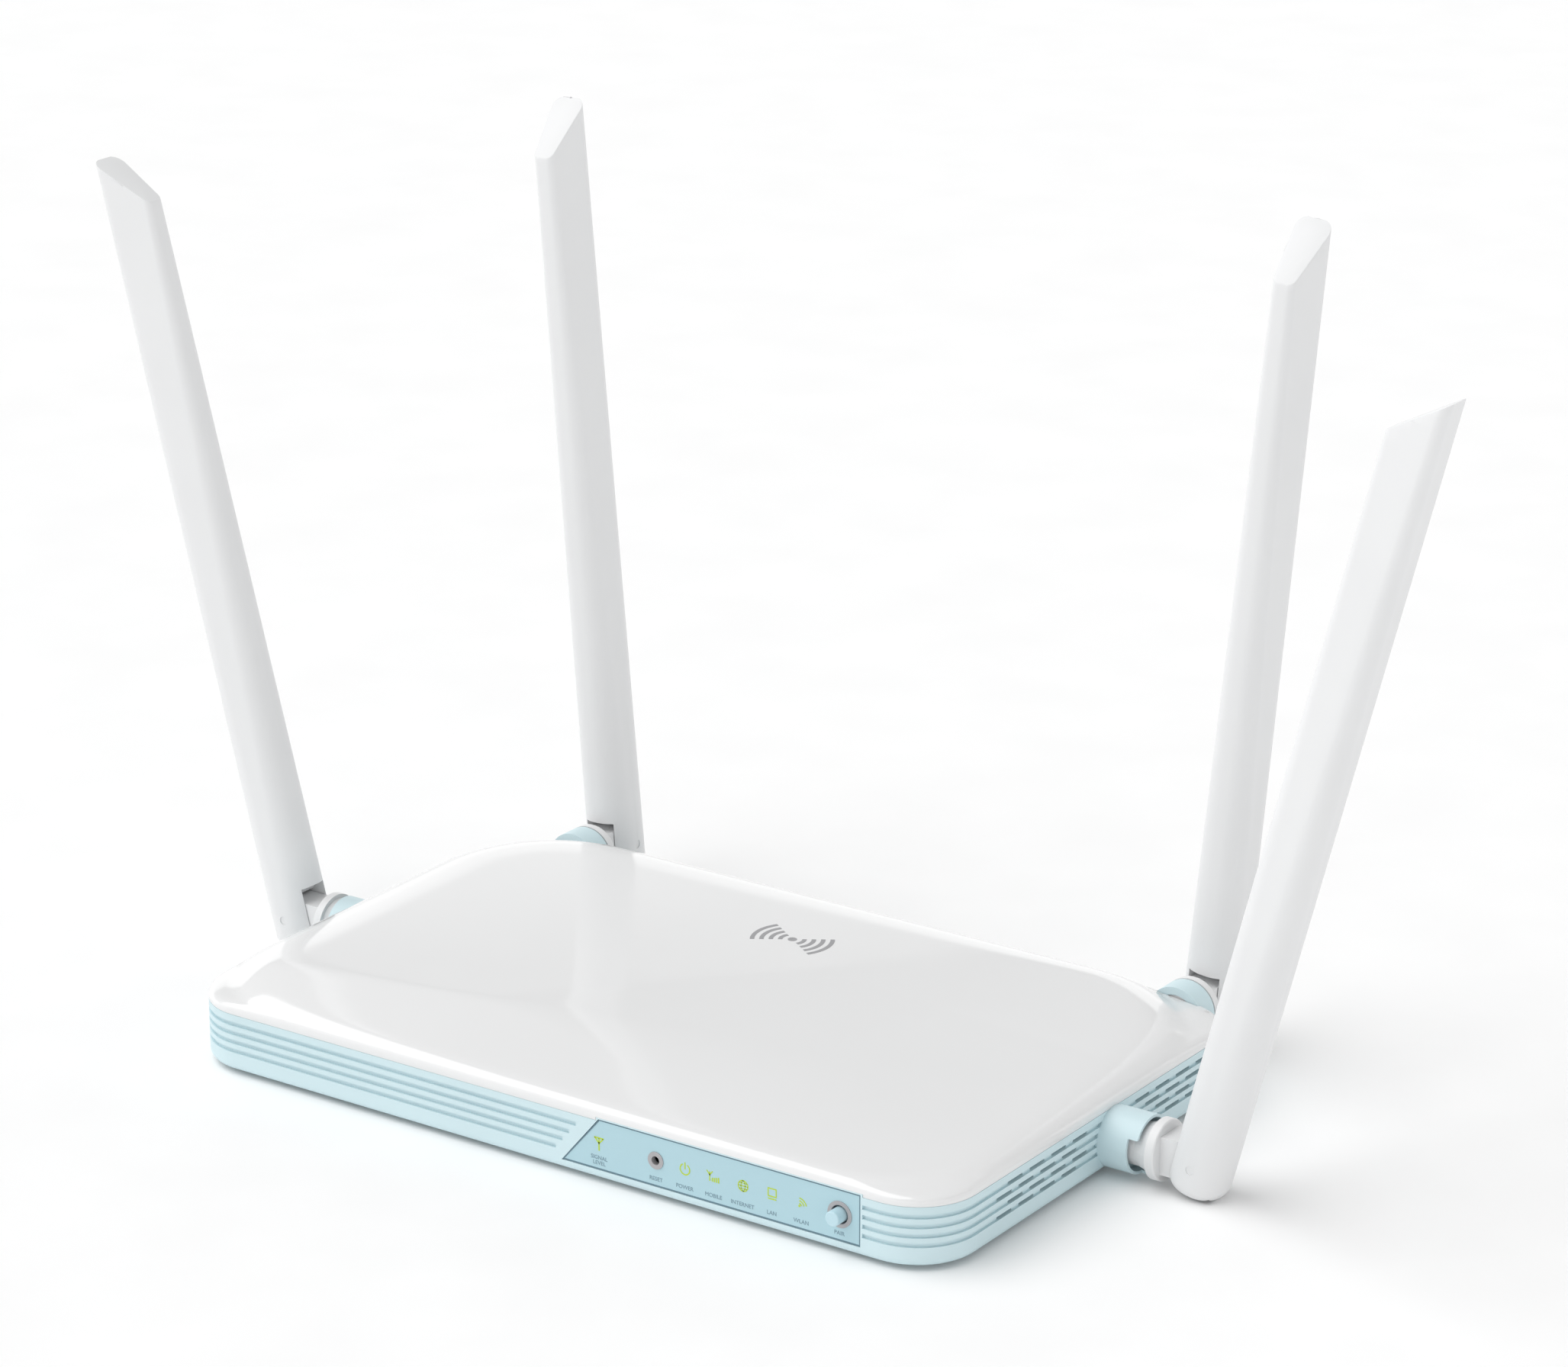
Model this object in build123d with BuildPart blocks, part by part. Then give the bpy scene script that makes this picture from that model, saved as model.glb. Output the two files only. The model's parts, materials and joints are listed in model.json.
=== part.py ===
from build123d import *
import os
from math import cos, radians, sin

os.makedirs("parts", exist_ok=True)

# A desktop router with four folding antennas. Millimetres, +Z up, the front faces -Y.
# The origin is the centre of the case's underside, midway between its two wall-mount keyholes.

# Case
case_length = 190.0
case_depth = 118.0
corner_radius = 13.6
base_height = 12.7
rim_height = 2.5
crown_height = 6.2
crown_inset = 17.0
crown_corner = 30.0
base_wall = 2.4
floor_thickness = 2.0
cover_wall = 2.0
edge_rounding = 1.5
front_y = -case_depth / 2
back_y = case_depth / 2
rim_top = base_height + rim_height
crown_top = rim_top + crown_height

# Grooves round the base, from the lowest up
groove_heights = (4.6, 6.6, 8.6, 10.65)
groove_width = 0.95
groove_depth = 0.6
panel_groove_gap = 3.2
vent_length = 5.4
vent_pitch = 8.0
vent_stagger = 4.0

# Front panel
panel_left_bottom = 5.0
panel_left_top = 14.2
panel_right = 77.1
panel_bottom = 2.1
panel_top = 13.0
panel_pocket = 1.2
panel_thickness = 1.0
panel_setback = 0.2
lip_top = 13.4
control_z = 7.7
reset_x = 28.2
pair_x = 72.3
light_xs = (14.1, 35.3, 42.4, 49.35, 56.3, 63.5)

# Circuit board
board_length = 152.0
board_front = -46.0
board_back = 50.0
board_bottom = 5.6
board_thickness = 1.6
board_top = board_bottom + board_thickness
board_screw_x = 68.0
board_screw_y = 36.0

# Screws, feet and wall mount
case_screw_x = 84.0
case_screw_y = 46.0
boss_radius = 3.6
boss_split = 9.0
foot_radius = 6.0
foot_recess = 0.6
foot_drop = 1.0
foot_x = 68.0
foot_y = 46.5
keyhole_spacing = 100.0
keyhole_radius = 4.0
keyhole_slot = 3.8
keyhole_run = 7.0

# Rear ports
jack_xs = {"lan_jack": -16.0, "wan_jack": 6.0}
jack_width = 16.0
jack_bottom = 2.2
jack_top = 13.4
jack_depth = 14.0
port_gap = 0.2
port_wall_top = 14.3
plug_width = 11.9
plug_height = 6.8
plug_depth = 11.5
plug_floor = 3.4
dc_x = -60.0
dc_z = 7.4
dc_bore = 3.15
dc_width = 9.0
dc_depth = 13.0
dc_pin_radius = 1.0
power_x = -42.0
power_z = 7.6
power_radius = 3.6
power_reach = 2.4
sim_x = 36.0

# Antennas
side_socket_z = 6.5
back_socket_z = 10.8
collar_radius = 6.5
collar_bore = 4.8
collar_mouth = 5.9
barrel_radius = 4.65
snap_radius = 5.3
flange_radius = 6.5
flange_thickness = 2.0
flange_to_pivot = 8.4
tongue_width = 7.0
tongue_radius = 4.1
pin_radius = 1.0
pin_length = 11.9
blade_below = 7.0
blade_above = 172.0
blade_base = 12.4
blade_base_corner = 5.6
foot_straight = 4.0
foot_rounding = 3.0
tip_inner = 2.1
tip_outer = 10.0
tip_inner_half = 2.0
tip_outer_half = 4.4
bevel_drop = 10.3


def antenna(wall_point, outward, lean_side, socket, swivel, fold):
    """One antenna's axes: its socket, its hinge and its blade's directions as posed."""
    out = Vector(*outward)
    upright = Vector(0, 0, cos(radians(swivel))) + Vector(*lean_side) * sin(radians(swivel))
    return socket | {
        "out": out,
        "wall": Vector(*wall_point),
        "pivot": Vector(*wall_point) + out * socket["reach"],
        "pin": out.cross(upright),
        "blade": upright * cos(radians(fold)) + out * sin(radians(fold)),
        "across": out * cos(radians(fold)) - upright * sin(radians(fold)),
    }


side_y = 5.7
back_x = 78.9
side_x = case_length / 2
# Distances along a socket's axis from the case wall's outer face, positive outward:
# the hinge pin, the collar's end, the barrel's inner end, the snap ring and the room cut for it
side_socket = {
    "reach": 21.4,
    "collar": 9.0,
    "pad": base_height - side_socket_z,
    "tail": -base_wall - 3.6,
    "snap": (-base_wall - 2.6, 2.3),
    "room": (-base_wall - 4.5, 4.5),
}
back_socket = {
    "reach": 13.8,
    "collar": 3.0,
    "pad": collar_radius,
    "tail": 0.2 - base_wall,
    "snap": (-1.8, 1.0),
    "room": (-1.9, 1.2),
}
antennas = {
    "left": antenna((-side_x, side_y, side_socket_z), (-1, 0, 0), (0, 1, 0), side_socket, 0.0, 13.2),
    "back_left": antenna((-back_x, back_y, back_socket_z), (0, 1, 0), (-1, 0, 0), back_socket, 3.1, -3.6),
    "back_right": antenna((back_x, back_y, back_socket_z), (0, 1, 0), (1, 0, 0), back_socket, 6.1, -3.1),
    "right": antenna((side_x, side_y, side_socket_z), (1, 0, 0), (0, 1, 0), side_socket, 0.0, 13.2),
}


def save(builder, name):
    builder.part.label = name
    export_step(builder.part, f"parts/{name}.step")


def socket_plane(a, distance):
    """Plane across the socket's axis, this far out from the case wall."""
    return Plane(origin=a["wall"] + a["out"] * distance, x_dir=a["pin"], z_dir=a["out"])


def blade_plane(a, height):
    """Plane across the blade, this far above its hinge pin."""
    return Plane(origin=a["pivot"] + a["blade"] * height, x_dir=a["across"], z_dir=a["blade"])


def hinge_plane(a, offset):
    """Plane across the hinge pin: x is across the blade and y runs up it."""
    return Plane(origin=a["pivot"] + a["pin"] * offset, x_dir=a["across"], z_dir=a["pin"])


def wall_plane(y):
    """Upright plane facing the front, with x to the right and y up."""
    return Plane(origin=(0, y, 0), x_dir=(1, 0, 0), z_dir=(0, -1, 0))


def panel_corners(grow):
    """The panel's slanted outline, grown by this much all round."""
    return (
        (panel_left_bottom - 1.6 * grow, panel_bottom - grow),
        (panel_right + grow, panel_bottom - grow),
        (panel_right + grow, panel_top + grow),
        (panel_left_top - 0.6 * grow, panel_top + grow),
    )


case_screw_spots = GridLocations(2 * case_screw_x, 2 * case_screw_y, 2, 2).locations
board_screw_spots = GridLocations(2 * board_screw_x, 2 * board_screw_y, 2, 2).locations
foot_spots = GridLocations(2 * foot_x, 2 * foot_y, 2, 2).locations

# Base case: a tub with grooves, vents, antenna sockets, ports and screw bosses
jack_mid = sum(jack_xs.values()) / 2
jack_bay = max(jack_xs.values()) - min(jack_xs.values()) + jack_width + 5.0
with BuildPart() as base_case:
    with BuildSketch(Plane.XY):
        RectangleRounded(case_length, case_depth, corner_radius)
    extrude(amount=base_height)
    fillet(base_case.faces().sort_by(Axis.Z)[0].edges(), edge_rounding)
    with BuildSketch(Plane.XY.offset(floor_thickness)):
        RectangleRounded(case_length - 2 * base_wall, case_depth - 2 * base_wall, corner_radius - base_wall)
    extrude(amount=base_height, mode=Mode.SUBTRACT)
    # Grooves: four rings, left open at the slanted panel and across the ports
    for height in groove_heights:
        with BuildSketch(Plane.XY.offset(height - groove_width / 2)):
            RectangleRounded(case_length + 1, case_depth + 1, corner_radius + 0.5)
            RectangleRounded(
                case_length - 2 * groove_depth,
                case_depth - 2 * groove_depth,
                corner_radius - groove_depth,
                mode=Mode.SUBTRACT,
            )
            slant = (panel_left_top - panel_left_bottom) / (panel_top - panel_bottom)
            stop_left = panel_left_bottom + slant * (height - panel_bottom) - panel_groove_gap
            with Locations(((stop_left + panel_right) / 2, front_y)):
                Rectangle(panel_right - stop_left + 1.0, 4.0, mode=Mode.SUBTRACT)
            with Locations((0, back_y)):
                Rectangle(2 * (back_x + collar_radius), 4.0, mode=Mode.SUBTRACT)
        extrude(amount=groove_width, mode=Mode.SUBTRACT)
    # Vents: short staggered slots along the grooves of both sides, clear of the sockets
    with BuildSketch(Plane.YZ):
        for row, height in enumerate(groove_heights):
            for step in range(-5, 6):
                y = side_y + step * vent_pitch + (row % 2) * vent_stagger
                if 10.0 < abs(y - side_y) and abs(y) < 42.0:
                    with Locations((y, height)):
                        Rectangle(vent_length, groove_width)
    extrude(amount=case_length, both=True, mode=Mode.SUBTRACT)
    # Floor vents
    with BuildSketch(Plane.XY):
        with GridLocations(7.0, 30.0, 9, 2):
            SlotOverall(22.0, 2.2, rotation=90)
    extrude(amount=floor_thickness, mode=Mode.SUBTRACT)
    # Lip over the front panel and raised wall over the network ports
    with BuildSketch(Plane.XY.offset(base_height)):
        with Locations(((panel_left_top + panel_right) / 2, front_y + base_wall / 2)):
            Rectangle(panel_right - panel_left_top + 1.2, base_wall)
    extrude(amount=lip_top - base_height)
    with BuildSketch(Plane.XY.offset(base_height)):
        with Locations((jack_mid, back_y - base_wall / 2)):
            Rectangle(jack_bay, base_wall)
    extrude(amount=port_wall_top - base_height)
    # Panel pocket, with windows for the lights, the reset hole and the pairing button
    with BuildSketch(wall_plane(front_y)):
        with BuildLine():
            Polyline(*panel_corners(0.1), close=True)
        make_face()
    extrude(amount=-panel_pocket, mode=Mode.SUBTRACT)
    with BuildSketch(wall_plane(front_y)):
        for x in light_xs:
            with Locations((x, control_z)):
                Rectangle(3.6, 4.0)
        with Locations((reset_x, control_z)):
            Circle(1.9)
        with Locations((pair_x, control_z)):
            Circle(2.9)
    extrude(amount=-base_wall - 1, mode=Mode.SUBTRACT)
    # Antenna sockets: collars with a stepped mouth, cut back at the lower front
    for a in antennas.values():
        with BuildSketch(socket_plane(a, -base_wall)):
            Circle(a["pad"])
        extrude(amount=base_wall)
        with BuildSketch(socket_plane(a, 0)):
            Circle(collar_radius)
        extrude(amount=a["collar"])
        room_start, room_length = a["room"]
        with BuildSketch(socket_plane(a, room_start)):
            Circle(snap_radius + 0.3)
        extrude(amount=room_length, mode=Mode.SUBTRACT)
        with BuildSketch(socket_plane(a, -base_wall - 1)):
            Circle(collar_bore)
        extrude(amount=base_wall + a["collar"] + 2, mode=Mode.SUBTRACT)
        with BuildSketch(socket_plane(a, a["collar"] / 2)):
            Circle(collar_mouth)
        extrude(amount=a["collar"], mode=Mode.SUBTRACT)
        if a["collar"] > 5:
            notch = Plane(a["wall"] + a["out"] * a["collar"] + Vector(0, -collar_radius, -3.0))
            with BuildSketch(notch):
                Rectangle(4.4, 2 * collar_radius)
            extrude(amount=6.0, both=True, mode=Mode.SUBTRACT)
    # Rear openings: network jacks, power inlet, power button and card slot
    with BuildSketch(wall_plane(back_y + 1)):
        for x in jack_xs.values():
            with Locations((x, (jack_bottom + jack_top) / 2)):
                Rectangle(jack_width + 2 * port_gap, jack_top - jack_bottom + port_gap)
        with Locations((dc_x, dc_z)):
            Circle(4.2)
        with Locations((power_x, power_z)):
            Circle(power_radius + port_gap)
        with Locations((sim_x, board_top + 1.2)):
            Rectangle(14.4, 1.8)
    extrude(amount=base_wall + 2, mode=Mode.SUBTRACT, dir=(0, -1, 0))
    # Bosses for the case screws and standoffs for the board
    with BuildSketch(Plane.XY.offset(floor_thickness)):
        with Locations(*case_screw_spots):
            Circle(boss_radius)
    extrude(amount=boss_split - floor_thickness)
    with BuildSketch(Plane.XY.offset(floor_thickness)):
        with Locations(*board_screw_spots):
            Circle(3.0)
    extrude(amount=board_bottom - floor_thickness)
    with BuildSketch(Plane.XY):
        with Locations(*case_screw_spots):
            Circle(1.6)
    extrude(amount=boss_split + 1, mode=Mode.SUBTRACT)
    with BuildSketch(Plane.XY):
        with Locations(*case_screw_spots):
            Circle(2.9)
    extrude(amount=3.0, mode=Mode.SUBTRACT)
    with BuildSketch(Plane.XY.offset(floor_thickness)):
        with Locations(*board_screw_spots):
            Circle(1.15)
    extrude(amount=board_bottom, mode=Mode.SUBTRACT)
    # Foot recesses
    with BuildSketch(Plane.XY):
        with Locations(*foot_spots):
            Circle(foot_radius + 0.1)
    extrude(amount=foot_recess, mode=Mode.SUBTRACT)
    # Wall-mount keyholes: a round mouth with a narrow slot above it
    with BuildSketch(Plane.XY):
        for x in (-keyhole_spacing / 2, keyhole_spacing / 2):
            with Locations((x, 0)):
                Circle(keyhole_radius)
            with Locations((x, keyhole_run / 2)):
                Rectangle(keyhole_slot, keyhole_run)
            with Locations((x, keyhole_run)):
                Circle(keyhole_slot / 2)
    extrude(amount=floor_thickness, mode=Mode.SUBTRACT)
save(base_case, "base_case")

# Top cover: a rim and a low crown whose right-hand facet leans to the front
facet_plane = Plane(origin=(8.6, 5.0, crown_top), x_dir=(0.665, 0.747, 0), z_dir=(0.0261, -0.0233, 1))
with BuildPart() as top_cover:
    with BuildSketch(Plane.XY.offset(base_height)):
        RectangleRounded(case_length, case_depth, corner_radius)
    extrude(amount=rim_height)
    with BuildSketch(Plane.XY.offset(rim_top)):
        RectangleRounded(case_length, case_depth, corner_radius)
    with BuildSketch(Plane.XY.offset(crown_top)):
        RectangleRounded(case_length - 2 * crown_inset, case_depth - 2 * crown_inset, crown_corner)
    loft()
    split(bisect_by=facet_plane, keep=Keep.BOTTOM)
    # Hollow underside
    with BuildSketch(Plane.XY.offset(base_height)):
        RectangleRounded(case_length - 2 * base_wall, case_depth - 2 * base_wall, corner_radius - base_wall)
    extrude(amount=0.7, mode=Mode.SUBTRACT)
    with BuildSketch(Plane.XY.offset(base_height + 0.7)):
        RectangleRounded(case_length - 2 * base_wall, case_depth - 2 * base_wall, corner_radius - base_wall)
    with BuildSketch(Plane.XY.offset(crown_top - cover_wall - 1.4)):
        RectangleRounded(
            case_length - 2 * crown_inset - 8, case_depth - 2 * crown_inset - 8, corner_radius - 2
        )
    loft(mode=Mode.SUBTRACT)
    # Notches over the front panel's lip and the raised port wall
    with BuildSketch(Plane.XY.offset(base_height)):
        with Locations(((panel_left_top + panel_right) / 2, front_y)):
            Rectangle(panel_right - panel_left_top + 1.4, 2 * base_wall)
    extrude(amount=lip_top - base_height + 0.05, mode=Mode.SUBTRACT)
    with BuildSketch(Plane.XY.offset(base_height)):
        with Locations((jack_mid, back_y)):
            Rectangle(jack_bay + 0.2, 2 * base_wall)
    extrude(amount=port_wall_top - base_height + 0.05, mode=Mode.SUBTRACT)
    # Notches round the back antennas' sockets
    for name in ("back_left", "back_right"):
        with BuildSketch(socket_plane(antennas[name], -base_wall - 0.1)):
            Circle(collar_radius + 0.1)
        extrude(amount=2 * base_wall, mode=Mode.SUBTRACT)
    # Screw bosses
    with BuildSketch(Plane.XY.offset(boss_split)):
        with Locations(*case_screw_spots):
            Circle(boss_radius)
    extrude(amount=rim_top - boss_split)
    with BuildSketch(Plane.XY.offset(boss_split)):
        with Locations(*case_screw_spots):
            Circle(1.25)
    extrude(amount=5.0, mode=Mode.SUBTRACT)
save(top_cover, "top_cover")

# Front panel with round holes for the reset ring and the button ring
with BuildPart() as front_panel:
    with BuildSketch(wall_plane(front_y + panel_setback)):
        with BuildLine():
            Polyline(*panel_corners(0), close=True)
        make_face()
        with Locations((reset_x, control_z)):
            Circle(1.85, mode=Mode.SUBTRACT)
        with Locations((pair_x, control_z)):
            Circle(2.8, mode=Mode.SUBTRACT)
    extrude(amount=-panel_thickness)
save(front_panel, "front_panel")

for name, x, outer, inner in (("reset_ring", reset_x, 1.85, 0.95), ("button_ring", pair_x, 2.8, 2.0)):
    with BuildPart() as ring:
        with BuildSketch(wall_plane(front_y)):
            with Locations((x, control_z)):
                Circle(outer)
                Circle(inner, mode=Mode.SUBTRACT)
        extrude(amount=-panel_pocket)
    save(ring, name)

# Pairing button: a round cap, a retaining flange behind the wall and a stem
with BuildPart() as pair_button:
    with BuildSketch(wall_plane(front_y - 2.7)):
        with Locations((pair_x, control_z)):
            Circle(1.6)
    extrude(amount=-10.2)
    fillet(pair_button.faces().sort_by(Axis.Y)[0].edges(), 0.3)
    with BuildSketch(wall_plane(front_y + base_wall + 0.2)):
        with Locations((pair_x, control_z)):
            Circle(3.4)
    extrude(amount=-0.9)
save(pair_button, "pair_button")

# Two side-pushed switches at the board's front edge, with their plungers
switch_front = board_front - 4.5
for name, x in (("pair", pair_x), ("reset", reset_x)):
    with BuildPart() as switch_body:
        with BuildSketch(wall_plane(switch_front)):
            with Locations((x, control_z)):
                Rectangle(6.0, 5.0)
        extrude(amount=-4.5)
        with BuildSketch(wall_plane(switch_front)):
            with Locations((x, control_z)):
                Circle(1.3)
        extrude(amount=-1.8, mode=Mode.SUBTRACT)
    save(switch_body, f"{name}_switch")
    with BuildPart() as plunger:
        with BuildSketch(wall_plane(switch_front - 1.0)):
            with Locations((x, control_z)):
                Circle(0.9)
        extrude(amount=-1.6)
    save(plunger, f"{name}_plunger")

# Light guide: a bar on the board with one prong to each symbol
with BuildPart() as light_guide:
    with BuildSketch(wall_plane(front_y + panel_setback + panel_thickness)):
        for x in light_xs:
            with Locations((x, control_z)):
                Rectangle(2.8, 3.2)
    extrude(amount=-6.5)
    with BuildSketch(wall_plane(front_y + panel_setback + panel_thickness + 4.0)):
        with Locations(((light_xs[0] + light_xs[-1]) / 2, control_z + 2.6)):
            Rectangle(light_xs[-1] - light_xs[0] + 2.8, 2.0)
    extrude(amount=-2.5)
save(light_guide, "light_guide")

with BuildPart() as indicator_leds:
    with BuildSketch(Plane.XY.offset(board_top)):
        for x in light_xs:
            with Locations((x, board_front + 1.6)):
                Rectangle(1.6, 1.6)
    extrude(amount=0.9)
save(indicator_leds, "indicator_leds")

# Main board, notched at the back for the network jacks
with BuildPart() as main_board:
    with BuildSketch(Plane.XY.offset(board_bottom)):
        with Locations((0, (board_front + board_back) / 2)):
            Rectangle(board_length, board_back - board_front)
        with Locations(*board_screw_spots):
            Circle(1.4, mode=Mode.SUBTRACT)
        for x in jack_xs.values():
            with Locations((x, back_y)):
                Rectangle(jack_width + 0.4, 2 * (jack_depth + 0.4), mode=Mode.SUBTRACT)
        with Locations((dc_x, back_y)):
            Rectangle(dc_width + 0.4, 2 * (dc_depth + 0.2), mode=Mode.SUBTRACT)
    extrude(amount=board_thickness)
save(main_board, "main_board")

# Board parts: name, centre x, centre y, length, width, height above what carries them
blocks = {
    "processor_chip": [(-6, 4, 16, 16, board_top, 1.2)],
    "memory_chips": [(16, 8, 12, 8, board_top, 1.0), (16, -4, 12, 8, board_top, 1.0)],
    "cellular_shield": [(44, 14, 38, 30, board_top, 2.4)],
    "wireless_shield": [(-46, -2, 30, 34, board_top, 2.4)],
    "magnetics": [(-16, 25, 14, 9, board_top, 3.6), (6, 25, 14, 9, board_top, 3.6)],
    "inductors": [(-62, 22, 6, 6, board_top, 3.0), (-54, 22, 6, 6, board_top, 3.0)],
    "sim_socket": [(sim_x, 38, 15, 13, board_top, 0.5), (sim_x, 38, 15, 13, board_top + 2.0, 0.5)],
}
for name, items in blocks.items():
    with BuildPart() as block:
        for x, y, length, width, bottom, height in items:
            with BuildSketch(Plane.XY.offset(bottom)):
                with Locations((x, y)):
                    RectangleRounded(length, width, 0.6)
            extrude(amount=height)
        if name == "sim_socket":
            with BuildSketch(Plane.XY.offset(board_top)):
                with Locations((sim_x - 7.0, 38), (sim_x + 7.0, 38)):
                    Rectangle(0.8, 11.0)
            extrude(amount=2.2)
    save(block, name)

with BuildPart() as capacitors:
    with BuildSketch(Plane.XY.offset(board_top)):
        with Locations((-70, 26), (-70, 14), (-66, -24)):
            Circle(2.5)
    extrude(amount=5.0)
save(capacitors, "capacitors")

with BuildPart() as heat_sink:
    with BuildSketch(Plane.XY.offset(board_top + 1.2)):
        with Locations((-6, 4)):
            Rectangle(24, 24)
    extrude(amount=1.2)
    with BuildSketch(Plane.XY.offset(board_top + 2.4)):
        with Locations((-6, 4)):
            with GridLocations(3.2, 0, 8, 1):
                Rectangle(1.0, 24)
    extrude(amount=4.0)
save(heat_sink, "heat_sink")

# Network jacks: a block with a plug cavity open to the back, and tabs that sit on the board
for name, x in jack_xs.items():
    with BuildPart() as jack:
        with BuildSketch(Plane.XY.offset(jack_bottom)):
            with Locations((x, back_y - port_gap - jack_depth / 2)):
                Rectangle(jack_width, jack_depth)
        extrude(amount=jack_top - jack_bottom)
        with BuildSketch(wall_plane(back_y)):
            with Locations((x, plug_floor + plug_height / 2)):
                Rectangle(plug_width, plug_height)
            with Locations((x, plug_floor + plug_height + 0.7)):
                Rectangle(6.2, 1.4)
        extrude(amount=-plug_depth, mode=Mode.SUBTRACT, dir=(0, 1, 0))
        with BuildSketch(Plane.XY.offset(board_top)):
            for side in (-1, 1):
                with Locations((x + side * (jack_width / 2 + 0.7), board_back - 3.0)):
                    Rectangle(1.5, 3.0)
        extrude(amount=1.0)
    save(jack, name)

with BuildPart() as jack_contacts:
    for x in jack_xs.values():
        with BuildSketch(Plane.XY.offset(plug_floor + 0.02)):
            with Locations((x, back_y - 6.5)):
                with GridLocations(1.02, 0, 8, 1):
                    Rectangle(0.4, 7.0)
        extrude(amount=0.4)
save(jack_contacts, "jack_contacts")

# Power inlet: a block with a round bore and a centre pin
with BuildPart() as dc_jack:
    with BuildSketch(Plane.XY.offset(board_top)):
        with Locations((dc_x, back_y - dc_depth - 1.5)):
            Rectangle(dc_width, 3.0)
    extrude(amount=4.0)
    with BuildSketch(wall_plane(back_y - dc_depth)):
        with Locations((dc_x, dc_z)):
            Rectangle(dc_width, 8.6)
    extrude(amount=2.8 - dc_depth)
    with BuildSketch(wall_plane(back_y - 2.8)):
        with Locations((dc_x, dc_z)):
            Circle(4.1)
    extrude(amount=-2.6)
    with BuildSketch(wall_plane(back_y - 11.2)):
        with Locations((dc_x, dc_z)):
            Circle(dc_bore)
    extrude(amount=-12.0, mode=Mode.SUBTRACT)
save(dc_jack, "dc_jack")

with BuildPart() as dc_jack_pin:
    with BuildSketch(wall_plane(back_y - 11.2)):
        with Locations((dc_x, dc_z)):
            Circle(dc_pin_radius)
    extrude(amount=-10.0)
save(dc_jack_pin, "dc_jack_pin")

# Power button with its stem, and the switch that it works
with BuildPart() as power_button:
    with BuildSketch(wall_plane(back_y - base_wall - 0.5)):
        with Locations((power_x, power_z)):
            Circle(power_radius)
    extrude(amount=-(base_wall + 0.5 + power_reach))
    fillet(power_button.faces().sort_by(Axis.Y)[-1].edges(), 0.6)
    with BuildSketch(wall_plane(back_y - base_wall - 1.5)):
        with Locations((power_x, power_z)):
            Circle(power_radius + 0.9)
    extrude(amount=-1.2)
    with BuildSketch(wall_plane(board_back - 1.0)):
        with Locations((power_x, board_top + 2.6)):
            Rectangle(2.4, 1.8)
    extrude(amount=-(back_y - base_wall - 1.5 - board_back + 1.0))
save(power_button, "power_button")

with BuildPart() as power_switch:
    with BuildSketch(Plane.XY.offset(board_top)):
        with Locations((power_x, board_back - 7.0)):
            Rectangle(8.0, 12.0)
    extrude(amount=5.4)
    with BuildSketch(wall_plane(board_back - 5.0)):
        with Locations((power_x, board_top + 2.6)):
            Rectangle(3.0, 2.4)
    extrude(amount=-6.0, mode=Mode.SUBTRACT)
save(power_switch, "power_switch")

# Feet, screws and the blank label
with BuildPart() as rubber_feet:
    with BuildSketch(Plane.XY.offset(-foot_drop)):
        with Locations(*foot_spots):
            Circle(foot_radius)
    extrude(amount=foot_drop + foot_recess)
save(rubber_feet, "rubber_feet")

for name, spots, head_z, head_radius, tip_z in (
    ("case_screws", case_screw_spots, 3.0, 2.7, 13.0),
    ("board_screws", board_screw_spots, board_top, 2.4, floor_thickness + 0.6),
):
    sign = 1 if tip_z > head_z else -1
    with BuildPart() as screws:
        for spot in spots:
            with BuildSketch(Plane.XY.offset(head_z)):
                with Locations(spot):
                    Circle(head_radius)
            extrude(amount=-sign * 1.6)
            with BuildSketch(Plane.XY.offset(head_z)):
                with Locations(spot):
                    Circle(1.1)
            extrude(amount=tip_z - head_z)
            with BuildSketch(Plane.XY.offset(head_z - sign * 1.6)):
                with Locations(spot):
                    Rectangle(2.6, 0.7)
                    Rectangle(0.7, 2.6)
            extrude(amount=sign * 0.8, mode=Mode.SUBTRACT)
    save(screws, name)

with BuildPart() as rating_label:
    with BuildSketch(Plane.XY.offset(-0.15)):
        with Locations((0, -46)):
            RectangleRounded(62, 18, 2)
    extrude(amount=0.15)
save(rating_label, "rating_label")

# Coaxial leads from the board's connectors to the antenna sockets
connector_spots = {"left": (-70, 0), "back_left": (-70, 40), "back_right": (70, 40), "right": (70, 0)}
with BuildPart() as rf_connectors:
    with BuildSketch(Plane.XY.offset(board_top)):
        for spot in connector_spots.values():
            with Locations(spot):
                Circle(1.5)
    extrude(amount=1.6)
save(rf_connectors, "rf_connectors")

cable_radius = 0.65
lead_z = board_top + 2.3
for name, a in antennas.items():
    start = Vector(*connector_spots[name], lead_z)
    end = a["wall"] + a["out"] * (a["tail"] - 1.2)
    bend = end - a["out"] * 3.5
    drop = end - a["out"] * 8.0 + Vector(0, 0, lead_z - end.Z)
    with BuildPart() as lead:
        with BuildLine() as route:
            Polyline(start, drop, bend, end)
        with BuildSketch(Plane(origin=start, z_dir=(drop - start).normalized())):
            Circle(cable_radius)
        sweep(transition=Transition.ROUND)
    save(lead, f"lead_{name}")

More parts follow.
